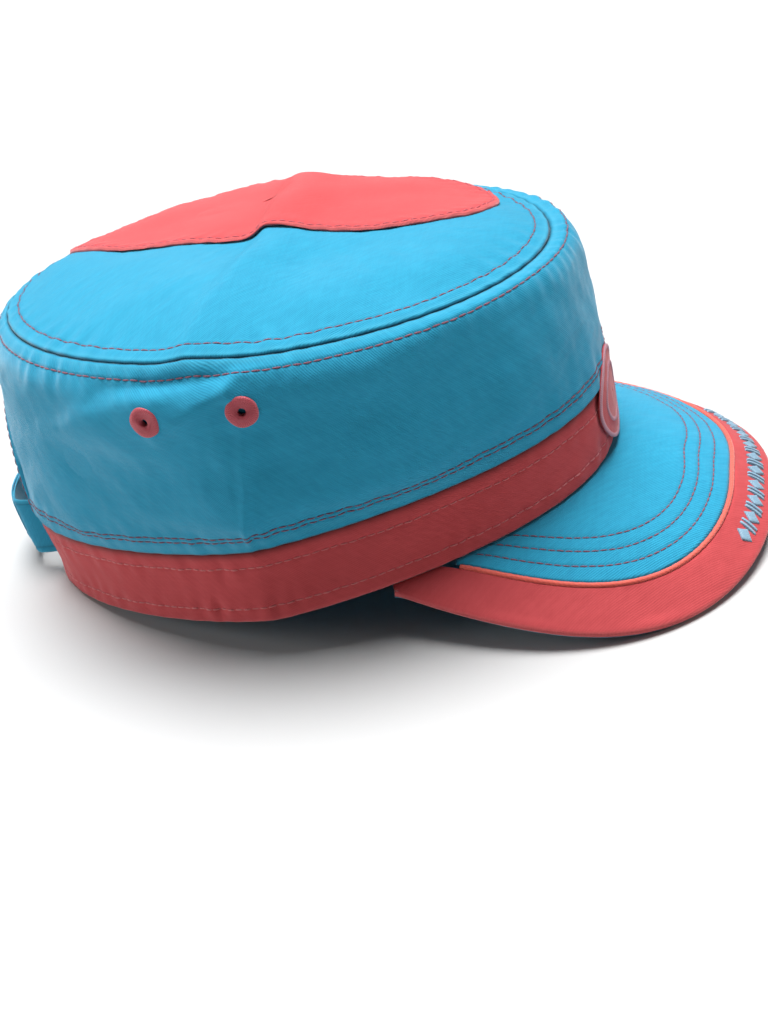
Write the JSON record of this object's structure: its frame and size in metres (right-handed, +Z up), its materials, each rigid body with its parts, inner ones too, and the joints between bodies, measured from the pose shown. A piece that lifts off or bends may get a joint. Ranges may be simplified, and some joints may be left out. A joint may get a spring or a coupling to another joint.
{
  "type": "cadet cap",
  "caption": "Flat-topped cloth cadet cap with a contrast band, a curved piped visor, vent rings and a half-moon back opening under an adjuster strap.",
  "frame": {"origin": "on the table, under the middle of the cap's outline", "axes": "+Z up from the table the cap rests on, -Y toward the visor, +X toward the wearer's left"},
  "size_m": [0.1652, 0.2588, 0.1148],
  "materials": {
    "turquoise_twill": "matt cotton twill, turquoise",
    "coral_twill": "matt cotton twill, coral red",
    "piping_cord": "smooth bright coral piping",
    "coral_thread": "satin embroidery thread, coral"
  },
  "bodies": {
    "root": {"crown_side": "turquoise_twill", "crown_top": "turquoise_twill", "top_patch": "coral_twill", "band": "coral_twill", "back_strap": "turquoise_twill", "visor_underside": "turquoise_twill", "visor_panel": "turquoise_twill", "visor_edge": "coral_twill", "visor_piping": "piping_cord", "front_patch": "coral_twill", "eyelet_right_front": "coral_thread", "eyelet_right_rear": "coral_thread", "eyelet_left_front": "coral_thread", "eyelet_left_rear": "coral_thread"}
  },
  "joints": []
}
